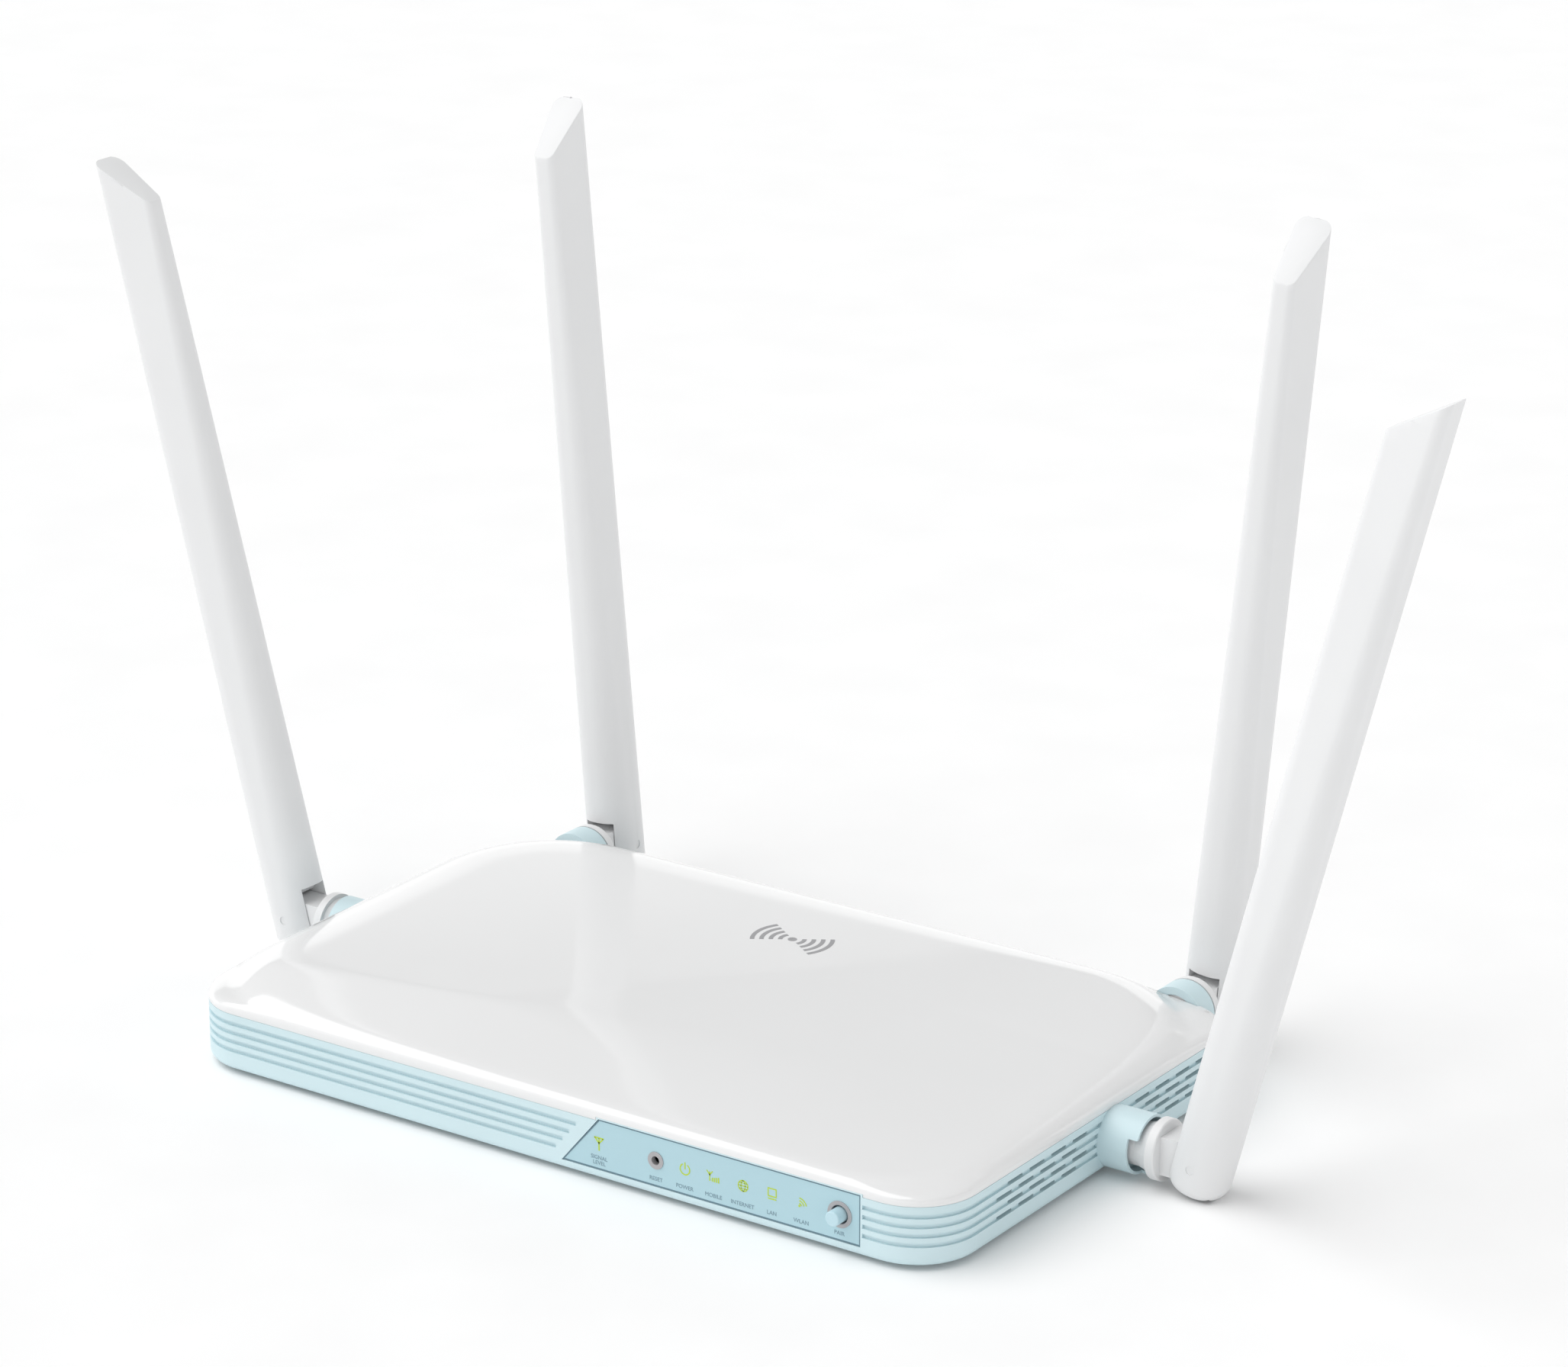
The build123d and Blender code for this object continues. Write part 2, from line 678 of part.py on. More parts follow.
# Antennas
for name, a in antennas.items():
    # Knuckle: a barrel held by a snap ring, a flange and a flat tongue round the hinge pin
    flange_out = a["reach"] - flange_to_pivot
    flange_in = flange_out - flange_thickness
    with BuildPart() as knuckle:
        snap_start, snap_length = a["snap"]
        with BuildSketch(socket_plane(a, a["tail"])):
            Circle(barrel_radius)
        extrude(amount=flange_in - a["tail"])
        with BuildSketch(socket_plane(a, snap_start)):
            Circle(snap_radius)
        extrude(amount=snap_length)
        with BuildSketch(socket_plane(a, flange_in)):
            Circle(flange_radius)
        extrude(amount=flange_thickness)
        fillet(knuckle.faces().sort_by(Axis(a["wall"], a["out"]))[-1].edges(), 0.4)
        if a["collar"] > 5:
            with BuildSketch(socket_plane(a, flange_in - 3.4)):
                Circle(barrel_radius)
            with BuildSketch(socket_plane(a, flange_in)):
                Circle(collar_mouth - 0.3)
            loft()
        with BuildSketch(socket_plane(a, flange_out)):
            Rectangle(tongue_width, 2 * tongue_radius)
        extrude(amount=flange_to_pivot)
        with BuildSketch(hinge_plane(a, -tongue_width / 2)):
            Circle(tongue_radius)
        extrude(amount=tongue_width)
        # Hinge bore, and the cable's way along the axis
        with BuildSketch(hinge_plane(a, -tongue_width)):
            Circle(pin_radius + 0.05)
        extrude(amount=2 * tongue_width, mode=Mode.SUBTRACT)
        with BuildSketch(socket_plane(a, a["tail"])):
            Circle(1.6)
        extrude(amount=flange_out + 2.0 - a["tail"], mode=Mode.SUBTRACT)
    save(knuckle, f"knuckle_{name}")

    with BuildPart() as hinge_pin:
        with BuildSketch(hinge_plane(a, -pin_length / 2)):
            Circle(pin_radius)
        extrude(amount=pin_length)
    save(hinge_pin, f"hinge_pin_{name}")

    # Blade: round at the foot, a slim wedge at the tip, with a slanting end
    with BuildPart() as blade:
        with BuildSketch(blade_plane(a, -blade_below)) as foot:
            Rectangle(blade_base, blade_base)
            fillet(foot.vertices(), blade_base_corner)
        extrude(amount=foot_straight)
        fillet(blade.faces().sort_by(Axis(a["pivot"], a["blade"]))[0].edges(), foot_rounding)
        with BuildSketch(blade_plane(a, foot_straight - blade_below)) as root:
            Rectangle(blade_base, blade_base)
            fillet(root.vertices(), blade_base_corner)
        with BuildSketch(blade_plane(a, blade_above)) as tip:
            with BuildLine():
                Polyline(
                    (-tip_inner, -tip_inner_half),
                    (tip_outer, -tip_outer_half),
                    (tip_outer, tip_outer_half),
                    (-tip_inner, tip_inner_half),
                    close=True,
                )
            make_face()
            fillet(tip.vertices().group_by(Axis.X)[-1], 1.8)
            fillet(tip.vertices().group_by(Axis.X)[0], 1.2)
        loft(ruled=True)
        # Slanting end
        with BuildSketch(hinge_plane(a, -blade_base)):
            with BuildLine():
                Polyline(
                    (tip_outer + 1, blade_above + 0.85),
                    (-tip_inner - 3, blade_above - bevel_drop - 2.55),
                    (-tip_inner - 3, blade_above + 5),
                    (tip_outer + 1, blade_above + 5),
                    close=True,
                )
            make_face()
        extrude(amount=2 * blade_base, mode=Mode.SUBTRACT)
        # Slot for the tongue, open to the inner side and to the foot
        with BuildSketch(hinge_plane(a, -tongue_width / 2 - 0.2)):
            with Locations((-3.0, -3.0)):
                Rectangle(15.0, 15.4)
            with Locations((-5.5, 3.0)):
                Rectangle(7.0, 7.6)
        extrude(amount=tongue_width + 0.4, mode=Mode.SUBTRACT)
        with BuildSketch(hinge_plane(a, -blade_base)):
            Circle(pin_radius)
        extrude(amount=2 * blade_base, mode=Mode.SUBTRACT)
        # Hollow for the antenna element
        with BuildSketch(hinge_plane(a, -1.2)):
            with BuildLine():
                Polyline((-3.6, 10), (3.6, 10), (8.0, 150), (0.5, 150), close=True)
            make_face()
        extrude(amount=2.4, mode=Mode.SUBTRACT)
    save(blade, f"blade_{name}")

    with BuildPart() as element:
        with BuildSketch(hinge_plane(a, -0.4)):
            with BuildLine():
                Polyline((-2.8, 12), (2.8, 12), (7.0, 148), (1.4, 148), close=True)
            make_face()
        extrude(amount=0.8)
    save(element, f"element_{name}")
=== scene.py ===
import json
from math import acos, cos, pi, radians, sin, tan

import bmesh
import bpy
import numpy as np
from mathutils import Matrix, Vector


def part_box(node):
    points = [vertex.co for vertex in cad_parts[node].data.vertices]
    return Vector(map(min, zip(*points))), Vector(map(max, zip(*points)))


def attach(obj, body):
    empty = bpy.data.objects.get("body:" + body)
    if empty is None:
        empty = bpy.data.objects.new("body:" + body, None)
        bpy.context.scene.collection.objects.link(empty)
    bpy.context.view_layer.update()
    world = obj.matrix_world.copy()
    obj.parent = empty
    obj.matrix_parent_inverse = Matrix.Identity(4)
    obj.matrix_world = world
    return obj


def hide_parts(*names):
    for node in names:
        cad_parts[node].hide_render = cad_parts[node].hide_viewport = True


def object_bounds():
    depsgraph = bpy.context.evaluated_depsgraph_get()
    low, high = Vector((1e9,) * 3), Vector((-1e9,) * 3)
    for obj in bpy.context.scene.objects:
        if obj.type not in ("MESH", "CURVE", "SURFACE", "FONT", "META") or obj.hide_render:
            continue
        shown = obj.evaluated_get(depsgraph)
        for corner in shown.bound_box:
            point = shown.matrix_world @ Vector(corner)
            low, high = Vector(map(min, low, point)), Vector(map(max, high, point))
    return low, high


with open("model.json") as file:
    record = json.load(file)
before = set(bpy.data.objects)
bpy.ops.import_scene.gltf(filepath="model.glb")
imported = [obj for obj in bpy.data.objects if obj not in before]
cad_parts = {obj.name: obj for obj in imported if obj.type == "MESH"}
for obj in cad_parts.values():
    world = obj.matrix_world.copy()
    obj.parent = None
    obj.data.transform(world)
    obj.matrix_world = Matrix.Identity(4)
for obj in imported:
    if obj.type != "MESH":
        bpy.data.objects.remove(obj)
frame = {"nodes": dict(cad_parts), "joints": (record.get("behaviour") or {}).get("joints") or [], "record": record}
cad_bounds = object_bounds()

MM = 0.001
NODES = frame["nodes"]
JOINTS = {joint["name"]: joint for joint in frame["joints"]}
SIDES = ("left", "back_left", "back_right", "right")

# Sizes that the frame doesn't give, in millimetres
RING_TO_RIM = 7.8
CORNER = 13.6
RIM = 2.5
PANEL_SLANT = 9.2

# Sizes read from the frame, in millimetres
cover_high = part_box("top_cover")[1] / MM
panel_low, panel_high = (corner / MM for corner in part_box("front_panel"))
half_length = cover_high.x
half_depth = cover_high.y
rim_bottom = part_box("button_ring")[0].z / MM + RING_TO_RIM


# ---------------------------------------------------------------- materials

def shader(name, colour, roughness, coat=0.0, metallic=0.0, ior=1.5):
    """A Principled material with its plain values on the shader's own sockets."""
    material = bpy.data.materials.new(name)
    material.use_nodes = True
    principled = material.node_tree.nodes["Principled BSDF"]
    principled.inputs["Base Color"].default_value = (*colour, 1)
    principled.inputs["Roughness"].default_value = roughness
    principled.inputs["Metallic"].default_value = metallic
    principled.inputs["IOR"].default_value = ior
    principled.inputs["Coat Weight"].default_value = coat
    principled.inputs["Coat Roughness"].default_value = 0.08
    return material, principled


def moulded(name, colour, roughness, grain=2200.0, depth=0.06, mottle=0.012, **rest):
    """Moulded plastic: a fine texture in relief, slight unevenness in tint and gloss."""
    material, principled = shader(name, colour, roughness, **rest)
    nodes = material.node_tree.nodes
    links = material.node_tree.links
    place = nodes.new("ShaderNodeTexCoord")
    fine = nodes.new("ShaderNodeTexNoise")
    fine.inputs["Scale"].default_value = grain
    fine.inputs["Detail"].default_value = 3.0
    broad = nodes.new("ShaderNodeTexNoise")
    broad.inputs["Scale"].default_value = 34.0
    broad.inputs["Detail"].default_value = 2.0
    links.new(place.outputs["Object"], fine.inputs["Vector"])
    links.new(place.outputs["Object"], broad.inputs["Vector"])
    tint = nodes.new("ShaderNodeValToRGB")
    tint.color_ramp.elements[0].position = 0.3
    tint.color_ramp.elements[1].position = 0.7
    tint.color_ramp.elements[0].color = (*(c * (1 - mottle) for c in colour), 1)
    tint.color_ramp.elements[1].color = (*(min(1.0, c * (1 + mottle)) for c in colour), 1)
    links.new(broad.outputs["Fac"], tint.inputs["Fac"])
    links.new(tint.outputs["Color"], principled.inputs["Base Color"])
    gloss = nodes.new("ShaderNodeMapRange")
    gloss.inputs["To Min"].default_value = roughness - 0.03
    gloss.inputs["To Max"].default_value = roughness + 0.03
    links.new(broad.outputs["Fac"], gloss.inputs["Value"])
    links.new(gloss.outputs["Result"], principled.inputs["Roughness"])
    relief = nodes.new("ShaderNodeBump")
    relief.inputs["Strength"].default_value = depth
    relief.inputs["Distance"].default_value = 0.0001
    links.new(fine.outputs["Fac"], relief.inputs["Height"])
    links.new(relief.outputs["Normal"], principled.inputs["Normal"])
    return material


WHITE_GLOSS = moulded("white_gloss", (0.80, 0.803, 0.805), 0.1, depth=0.004, mottle=0.004, coat=0.5)
WHITE_SATIN = moulded("white_satin", (0.77, 0.775, 0.78), 0.42, depth=0.05)
PALE_BLUE = moulded("pale_blue", (0.60, 0.75, 0.79), 0.45, depth=0.06)
PANEL_BLUE = moulded("panel_blue", (0.42, 0.615, 0.68), 0.36, depth=0.03, coat=0.1)
BUTTON_BLUE = moulded("button_blue", (0.50, 0.69, 0.76), 0.35, depth=0.03)
RING_GREY = moulded("ring_grey", (0.40, 0.39, 0.40), 0.38, depth=0.05)
BLACK = moulded("black_moulded", (0.018, 0.018, 0.02), 0.45, depth=0.1)
RUBBER = moulded("foot_rubber", (0.05, 0.053, 0.056), 0.8, grain=900.0, depth=0.3)
LABEL = moulded("blank_label", (0.75, 0.76, 0.77), 0.5, depth=0.02)
CLEAR = moulded("light_guide", (0.62, 0.70, 0.55), 0.3, depth=0.03)
LAMINATE = moulded("board_green", (0.02, 0.12, 0.05), 0.35, grain=600.0, depth=0.1, mottle=0.1)
TIN = moulded("tin_plate", (0.62, 0.63, 0.64), 0.32, depth=0.08, metallic=1.0)
GOLD = moulded("gold_contact", (0.80, 0.56, 0.22), 0.25, depth=0.05, metallic=1.0)
SINK = moulded("anodised_sink", (0.50, 0.51, 0.53), 0.4, depth=0.1, metallic=1.0)
LIME = moulded("lime_print", (0.46, 0.62, 0.045), 0.5, depth=0.02)
LABEL_INK = moulded("label_ink", (0.19, 0.29, 0.35), 0.5, depth=0.02)
OUTLINE_INK = moulded("outline_ink", (0.13, 0.22, 0.27), 0.5, depth=0.02)
EMBLEM_GREY = moulded("emblem_grey", (0.30, 0.30, 0.31), 0.35, depth=0.02)

SLOT_MATERIALS = {
    "base_plastic": PALE_BLUE,
    "cover_plastic": WHITE_GLOSS,
    "panel_film": PANEL_BLUE,
    "ring_plastic": RING_GREY,
    "jack_plastic": BLACK,
    "contact_metal": GOLD,
    "foot_rubber": RUBBER,
    "label_film": LABEL,
    "clear_plastic": CLEAR,
    "board_laminate": LAMINATE,
    "shield_metal": TIN,
    "sink_metal": SINK,
    "lead_jacket": BLACK,
    "antenna_plastic": WHITE_SATIN,
}


def paint(obj, material):
    """The material on every slot of the object."""
    if not obj.material_slots:
        obj.data.materials.append(material)
    for material_slot in obj.material_slots:
        material_slot.link = "OBJECT"
        material_slot.material = material


for subpart in frame["record"]["subparts"]:
    paint(NODES[subpart["node"]], SLOT_MATERIALS[subpart["material_slot"]])
paint(NODES["pair_button"], BUTTON_BLUE)


# ---------------------------------------------------------------- mesh helpers

def new_piece(name, vertices, faces, material, body, sharp=35):
    """A smooth-shaded mesh piece in metres that rides on a body."""
    mesh = bpy.data.meshes.new(name)
    mesh.from_pydata([tuple(v) for v in vertices], [], faces)
    mesh.update()
    obj = bpy.data.objects.new(name, mesh)
    bpy.context.scene.collection.objects.link(obj)
    mesh.materials.append(material)
    if body:
        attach(obj, body)
    finish_shading(obj, sharp)
    return obj


def finish_shading(obj, sharp):
    bm = bmesh.new()
    bm.from_mesh(obj.data)
    bmesh.ops.recalc_face_normals(bm, faces=bm.faces)
    bm.to_mesh(obj.data)
    bm.free()
    for polygon in obj.data.polygons:
        polygon.use_smooth = True
    obj.data.set_sharp_from_angle(angle=radians(sharp))


def ring_faces(rings, count, first=0):
    """Quads between closed rings of the same number of points."""
    faces = []
    for r in range(rings - 1):
        for i in range(count):
            j = (i + 1) % count
            a = first + r * count
            faces.append((a + i, a + j, a + count + j, a + count + i))
    return faces


def cut_away(obj, cutters):
    """Subtracts closed meshes from the object and keeps the result."""
    for cutter in cutters:
        modifier = obj.modifiers.new("cut", "BOOLEAN")
        modifier.object = cutter
        modifier.solver = "EXACT"
        bpy.context.view_layer.update()
        result = bpy.data.meshes.new_from_object(obj.evaluated_get(bpy.context.evaluated_depsgraph_get()))
        obj.modifiers.remove(modifier)
        obj.data = result
    for cutter in cutters:
        bpy.data.objects.remove(cutter)


def prism(outline, place, low, high):
    """A closed cutter: an outline swept between two offsets; place(x, y, offset) gives its points."""
    count = len(outline)
    vertices = [place(x, y, offset) for offset in (low, high) for x, y in outline]
    faces = ring_faces(2, count) + [tuple(range(count)), tuple(range(2 * count - 1, count - 1, -1))]
    mesh = bpy.data.meshes.new("cutter")
    mesh.from_pydata([tuple(v) for v in vertices], [], faces)
    bm = bmesh.new()
    bm.from_mesh(mesh)
    bmesh.ops.recalc_face_normals(bm, faces=bm.faces)
    bm.to_mesh(mesh)
    bm.free()
    cutter = bpy.data.objects.new("cutter", mesh)
    bpy.context.scene.collection.objects.link(cutter)
    return cutter


def rounded_polygon(corners, radii, arc_steps=10, side_steps=4):
    """Points round a convex polygon, anticlockwise, with an arc at each corner."""
    points = []
    count = len(corners)
    for i in range(count):
        before = Vector(corners[i - 1])
        corner = Vector(corners[i])
        after = Vector(corners[(i + 1) % count])
        back = (before - corner).normalized()
        ahead = (after - corner).normalized()
        half = acos(max(-1.0, min(1.0, back.dot(ahead)))) / 2
        centre = corner + (back + ahead).normalized() * (radii[i] / sin(half))
        start = corner + back * (radii[i] / tan(half))
        end = corner + ahead * (radii[i] / tan(half))
        first = (start - centre).angle_signed(Vector((1, 0)))
        sweep = pi - 2 * half
        for step in range(arc_steps + 1):
            turn = first + sweep * step / arc_steps
            points.append(centre + Vector((cos(turn), sin(turn))) * radii[i])
        after_back = (corner - after).normalized()
        after_next = (Vector(corners[(i + 2) % count]) - after).normalized()
        after_half = acos(max(-1.0, min(1.0, after_back.dot(after_next)))) / 2
        next_start = after + after_back * (radii[(i + 1) % count] / tan(after_half))
        for step in range(1, side_steps):
            points.append(end.lerp(next_start, step / side_steps))
    return [tuple(p) for p in points]


def box_outline(x0, x1, y0, y1):
    return [(x0, y0), (x1, y0), (x1, y1), (x0, y1)]


def upright(x, y, z):
    """A point in metres, for an outline in plan swept upwards."""
    return Vector((x, y, z)) * MM


def rearward(x, z, y):
    """A point in metres, for an outline in the back wall's plane swept rearwards."""
    return Vector((x, y, z)) * MM


# ---------------------------------------------------------------- top cover

def edge_distance(x, y):
    """Distance in from the case's rounded outline."""
    qx = np.abs(x) - (half_length - CORNER)
    qy = np.abs(y) - (half_depth - CORNER)
    outside = np.hypot(np.maximum(qx, 0), np.maximum(qy, 0))
    inside = np.minimum(np.maximum(qx, qy), 0)
    return np.maximum(CORNER - outside - inside, 0)


def soft_min(a, b, width):
    """The lower of two surfaces, with the crease between them this wide."""
    blend = np.clip(0.5 + 0.5 * (b - a) / width, 0, 1)
    return b * (1 - blend) + a * blend - width * blend * (1 - blend)


RIM_TOP = rim_bottom + RIM
PLATEAU = cover_high.z - 0.1
SHOULDER = 0.5
SHOULDER_WIDTH = 1.1
SOCKET_ROOM = 6.6
WALL = 2.4
SHELL = 2.0
# The crease between the plateau and the facet: a point on it and its normal in plan
CREASE_X, CREASE_Y = -29.5, -37.6
CREASE_NORMAL_X, CREASE_NORMAL_Y = 0.747, -0.667
FACET_FALL = 0.036
FACET_BACK = 75.0
FACET_FADE = 60.0
TILT = 0.0075
# The front slope is steeper towards the left end
FRONT_SLOPE_START = 79.4
FRONT_SLOPE_LENGTH = 151.4
FRONT_STEEPNESS, STEEPER, STEEPEST = 0.094, 0.085, 0.185
# Widths of the rounded banks along the sides and at the corners
RIGHT_WIDTH = 30.0
LEFT_WIDTH = 12.0
BACK_WIDTH = 18.0
CORNER_WIDTH = 18.0
# Radii of the crown's outline at its back and front corners
BACK_CORNER = 35.0
FRONT_CORNER = 26.0


def crown_gap(x, y, back_corner, front_corner):
    """Distance in from an outline with the case's sides and wider corners."""
    reach = np.where(y > 0, back_corner, front_corner)
    side = half_length - np.abs(x)
    end = half_depth - np.abs(y)
    rounded = reach - np.hypot(np.maximum(reach - side, 0), np.maximum(reach - end, 0))
    return np.where((side < reach) & (end < reach), rounded, np.minimum(side, end))


def bank(gap, width):
    """A rounded rise from the rim over this width."""
    climb = 1 - (1 - np.clip(gap / width, 0, 1)) ** 2.0
    rise = PLATEAU - RIM_TOP - SHOULDER
    return RIM_TOP + SHOULDER + (rise + 0.6) * climb + 0.2 * np.clip(gap, -9, 0)


def cover_height(x, y):
    """The crown: a plateau, a facet that falls to the front right, and slopes on every side."""
    distance = edge_distance(x, y)
    along = (x - CREASE_X) * CREASE_NORMAL_X + (y - CREASE_Y) * CREASE_NORMAL_Y
    fade = np.clip((FACET_BACK - y) / FACET_FADE, 0.25, 1)
    plateau = PLATEAU - TILT * (x + half_length)
    facet = plateau - FACET_FALL * along * fade
    top = soft_min(plateau, facet, 0.12 + 0.1 * (1 - fade))
    ahead = np.clip((FRONT_SLOPE_START - x) / FRONT_SLOPE_LENGTH, -0.1, 1.15)
    steepness = FRONT_STEEPNESS + STEEPER * ahead + STEEPEST * np.clip(ahead, 0, 2) ** 3
    front = RIM_TOP + SHOULDER + (y + half_depth) * steepness
    softness = 0.2 + 1.3 * np.clip((x + 40) / 60, 0, 1)
    surface = soft_min(top, front, softness)
    surface = soft_min(surface, bank(half_length - x, RIGHT_WIDTH), 1.2)
    surface = soft_min(surface, bank(half_length + x, LEFT_WIDTH), 0.8)
    surface = soft_min(surface, bank(half_depth - y, BACK_WIDTH), 0.8)
    surface = soft_min(surface, bank(crown_gap(x, y, BACK_CORNER, FRONT_CORNER), CORNER_WIDTH), 1.4)
    shoulder = SHOULDER * (1 - np.sqrt(1 - (1 - np.clip(distance / SHOULDER_WIDTH, 0, 1)) ** 2))
    return surface - shoulder - SHOULDER * np.exp(-distance / 1.6)


def case_outline(inset):
    """Points round the case in plan, this far in from its sides."""
    corners = [
        (-half_length + inset, -half_depth + inset),
        (half_length - inset, -half_depth + inset),
        (half_length - inset, half_depth - inset),
        (-half_length + inset, half_depth - inset),
    ]
    return np.array(rounded_polygon(corners, [CORNER - inset] * 4, arc_steps=16, side_steps=60))


def crown_rings(outline, drop):
    """Rings from the outline to the centre, on the crown or this far under it."""
    edge_insets = [0, 0.12, 0.25, 0.45, 0.7, 1.0, 1.4, 2.0]
    insets = np.concatenate([edge_insets, np.linspace(2.8, half_depth - 0.4, 62)])
    rings = []
    for inset in insets:
        ring = outline * (1 - inset / half_depth)
        height = cover_height(ring[:, 0], ring[:, 1]) - drop
        rings.append(np.c_[ring, height])
    return rings


def cover_shell_mesh():
    """The cover's vertices and faces: crown, wall, foot and hollow underside."""
    outline = case_outline(0)
    count = len(outline)
    outer = crown_rings(outline, 0)
    wall = [np.c_[outline, np.full(count, z)] for z in (rim_bottom, rim_bottom + 0.15)]
    wall[0][:, :2] = case_outline(0.12)
    inner = crown_rings(case_outline(WALL), SHELL)
    for ring in inner:
        ring[:, 2] = np.maximum(ring[:, 2], rim_bottom + 0.3)
    foot = [np.c_[case_outline(WALL), np.full(count, rim_bottom)]]
    rings = list(reversed(outer)) + list(reversed(wall)) + foot + inner
    vertices = np.concatenate(rings) * MM
    faces = ring_faces(len(rings), count)
    faces.append(tuple(range(count - 1, -1, -1)))
    last = (len(rings) - 1) * count
    faces.append(tuple(range(last, last + count)))
    return vertices, faces


def make_cover():
    """The visible cover, cut out over the panel, the jacks and the back sockets."""
    vertices, faces = cover_shell_mesh()
    cover = new_piece("cover_shell", vertices, faces, WHITE_GLOSS, "case", 50)
    lip_left = panel_low.x + PANEL_SLANT - 0.7
    lip = box_outline(lip_left, panel_high.x + 0.7, -half_depth - 2, -half_depth + 2.45)
    jacks = [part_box(name) for name in ("lan_jack", "wan_jack")]
    bay_low = min(low.x for low, high in jacks) / MM - 1.1
    bay_high = max(high.x for low, high in jacks) / MM + 1.1
    bay = box_outline(bay_low, bay_high, half_depth - 2.45, half_depth + 2)
    cut_away(cover, [prism(lip, upright, rim_bottom - 1, rim_bottom + 0.72)])
    cut_away(cover, [prism(bay, upright, rim_bottom - 1, rim_bottom + 1.65)])
    for side in ("back_left", "back_right"):
        socket = Vector(JOINTS[f"swivel_{side}"]["pos_m"]) / MM
        ring = [
            (socket.x + SOCKET_ROOM * cos(turn), socket.z + SOCKET_ROOM * sin(turn))
            for turn in np.linspace(0, 2 * pi, 49)[:-1]
        ]
        cut_away(cover, [prism(ring, rearward, half_depth - 2.5, half_depth + 1)])
    finish_shading(cover, 50)
    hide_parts("top_cover")


make_cover()


# ---------------------------------------------------------------- antennas

BLADE_BELOW = 7.0
BLADE_ABOVE = 172.0
STRAIGHT = 4.0
FOOT_HALF = 6.2
FOOT_ROUNDING = 3.2
FOOT_CORNER = 5.7
TIP_OUTER, TIP_OUTER_HALF = 10.0, 4.4
TIP_INNER, TIP_INNER_HALF = -2.1, 2.2
TIP_SLOPE_DROP = 10.3
TONGUE_SLOT_HALF = 3.7
PIN_RADIUS = 1.0


def blade_section(height):
    """The blade's outline at this height: round at the foot, a slim wedge at the tip."""
    foot = rounded_polygon(
        box_outline(-FOOT_HALF, FOOT_HALF, -FOOT_HALF, FOOT_HALF),
        [FOOT_CORNER] * 4,
    )
    tip = rounded_polygon(
        [
            (TIP_INNER, -TIP_INNER_HALF),
            (TIP_OUTER, -TIP_OUTER_HALF),
            (TIP_OUTER, TIP_OUTER_HALF),
            (TIP_INNER, TIP_INNER_HALF),
        ],
        [1.4, 1.9, 1.9, 1.4],
    )
    share = max(0.0, (height + BLADE_BELOW - STRAIGHT) / (BLADE_ABOVE + BLADE_BELOW - STRAIGHT))
    return np.array(foot) * (1 - share) + np.array(tip) * share


def make_blade(side):
    """The visible blade, with its slanting tip, tongue slot and pin hole."""
    swivel = JOINTS[f"swivel_{side}"]
    fold = JOINTS[f"fold_{side}"]
    pivot = Vector(fold["pos_m"])
    out = (pivot - Vector(swivel["pos_m"])).normalized()
    axis = Vector(fold["axis"]).normalized()
    upright = out.cross(axis)
    lean = radians(90 - fold["range_deg"][1])
    up = upright * cos(lean) + out * sin(lean)
    across = out * cos(lean) - upright * sin(lean)

    def place(x, y, offset=0.0):
        return pivot + (across * x + up * y + axis * offset) * MM

    rings = []
    for step in range(9):
        turn = pi / 2 * step / 8
        ring = blade_section(-BLADE_BELOW)
        shrink = 1 - FOOT_ROUNDING * (1 - sin(turn)) / FOOT_HALF
        rings.append((ring * shrink, -BLADE_BELOW + FOOT_ROUNDING * (1 - cos(turn))))
    for height in np.linspace(-BLADE_BELOW + STRAIGHT, BLADE_ABOVE, 60):
        rings.append((blade_section(height), height))
    count = len(rings[0][0])
    vertices = [place(x, height, n) for ring, height in rings for x, n in ring]
    faces = ring_faces(len(rings), count) + [tuple(range(count))]
    faces.append(tuple(range(len(vertices) - 1, len(vertices) - count - 1, -1)))
    blade = new_piece(f"blade_shell_{side}", vertices, faces, WHITE_SATIN, f"blade_{side}")
    # The slanting end, its edge slightly rounded
    corner = place(TIP_OUTER, BLADE_ABOVE)
    slope = (corner - place(TIP_INNER, BLADE_ABOVE - TIP_SLOPE_DROP)).normalized()
    bm = bmesh.new()
    bm.from_mesh(blade.data)
    bm.normal_update()
    everything = bm.verts[:] + bm.edges[:] + bm.faces[:]
    normal = axis.cross(slope)
    if normal.dot(up) < 0:
        normal = -normal
    cut = bmesh.ops.bisect_plane(bm, geom=everything, plane_co=corner, plane_no=normal, clear_outer=True)
    rim = [e for e in cut["geom_cut"] if isinstance(e, bmesh.types.BMEdge)]
    cap = bmesh.ops.contextual_create(bm, geom=rim)["faces"]
    edges = list({e for f in cap for e in f.edges})
    bmesh.ops.bevel(bm, geom=edges, offset=0.0003, segments=2, affect="EDGES", profile=0.6)
    bm.to_mesh(blade.data)
    bm.free()
    # The slot for the knuckle's tongue and the hinge pin's hole
    slot = [(-9, -10), (4.5, -10), (4.5, 4.6), (-1.6, 4.6), (-3.2, 6.2), (-9, 6.8)]
    pin = [(PIN_RADIUS * cos(a), PIN_RADIUS * sin(a)) for a in np.linspace(0, 2 * pi, 25)[:-1]]
    tongue_room = prism(slot, place, -TONGUE_SLOT_HALF, TONGUE_SLOT_HALF)
    cut_away(blade, [tongue_room, prism(pin, place, -9, 9)])
    finish_shading(blade, 30)
    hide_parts(f"blade_{side}")


for side in SIDES:
    make_blade(side)


# ---------------------------------------------------------------- printed marks

MARK_LIFT = 0.04
MARK_DEPTH = 0.02


